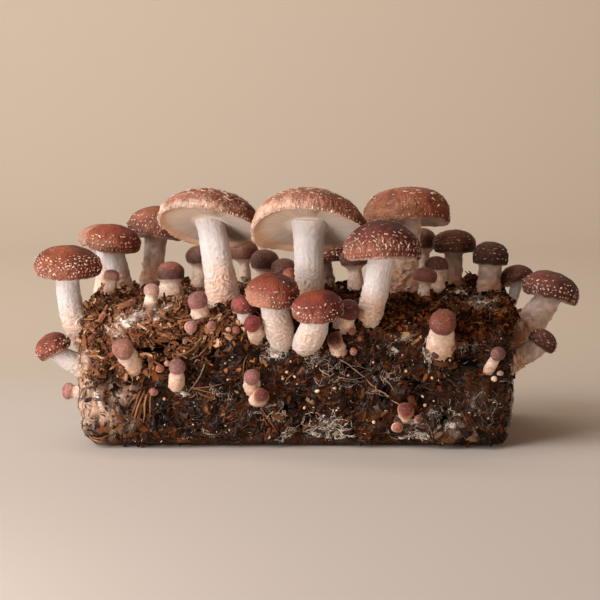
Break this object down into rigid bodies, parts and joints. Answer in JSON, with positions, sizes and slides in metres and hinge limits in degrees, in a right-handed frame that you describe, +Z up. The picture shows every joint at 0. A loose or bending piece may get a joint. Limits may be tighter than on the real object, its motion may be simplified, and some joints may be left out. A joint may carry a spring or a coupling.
{
  "type": "shiitake grow block",
  "caption": "Pressed sawdust and straw block overgrown with shiitake mushrooms, from pins and buttons to wide open caps with gills.",
  "frame": {"origin": "centre of the block's flat underside, on the surface it stands on", "axes": "+X along the block's length to the viewer's right, +Y to the back, +Z up; the pictured face looks along -Y"},
  "size_m": [0.3359, 0.1759, 0.1589],
  "materials": {
    "sawdust_block": "damp pressed sawdust and straw, matt with wet patches and white mycelium",
    "stem_flesh": "matt fibrous cream flesh",
    "cap_skin_brown": "matt brown skin with cream scales",
    "cap_skin_red": "matt red brown skin with cream dots near the rim",
    "cap_skin_dark": "matt dark brown skin",
    "button_skin": "velvety plum skin",
    "button_skin_dark": "velvety dark brown skin"
  },
  "bodies": {
    "root": {"grow_block": "sawdust_block", "cap_front_left": "cap_skin_brown", "stem_front_left": "stem_flesh", "cap_front_middle": "cap_skin_brown", "stem_front_middle": "stem_flesh", "cap_rear_right": "cap_skin_brown", "stem_rear_right": "stem_flesh", "cap_middle_right": "cap_skin_red", "stem_middle_right": "stem_flesh", "cap_side_left_high": "cap_skin_brown", "stem_side_left_high": "stem_flesh", "cap_side_left_low": "cap_skin_brown", "stem_side_left_low": "stem_flesh", "cap_side_right_high": "cap_skin_red", "stem_side_right_high": "stem_flesh", "cap_side_right_back": "cap_skin_red", "stem_side_right_back": "stem_flesh", "cap_side_right_low": "cap_skin_dark", "stem_side_right_low": "stem_flesh", "cap_back_left": "cap_skin_brown", "stem_back_left": "stem_flesh", "cap_back_left_corner": "cap_skin_brown", "stem_back_left_corner": "stem_flesh", "cap_back_left_inner": "cap_skin_brown", "stem_back_left_inner": "stem_flesh", "cap_back_middle": "cap_skin_dark", "stem_back_middle": "stem_flesh", "cap_back_right": "cap_skin_dark", "stem_back_right": "stem_flesh", "cap_back_right_corner": "cap_skin_dark", "stem_back_right_corner": "stem_flesh", "cap_low_centre_left": "cap_skin_red", "stem_low_centre_left": "stem_flesh", "cap_low_centre_right": "cap_skin_red", "stem_low_centre_right": "stem_flesh", "cap_low_red": "cap_skin_red", "stem_low_red": "stem_flesh", "button_01": "button_skin", "button_02": "button_skin", "button_03": "button_skin", "button_04": "button_skin", "button_05": "button_skin", "button_06": "button_skin_dark", "button_07": "button_skin_dark", "button_08": "button_skin", "button_09": "button_skin", "button_10": "button_skin", "button_11": "button_skin", "button_12": "button_skin", "button_13": "button_skin", "button_14": "button_skin", "button_15": "button_skin", "button_16": "button_skin_dark", "button_17": "button_skin_dark", "button_18": "button_skin_dark", "button_19": "button_skin_dark", "button_20": "button_skin_dark", "button_21": "button_skin_dark", "button_22": "button_skin_dark", "button_23": "button_skin_dark"}
  },
  "joints": []
}
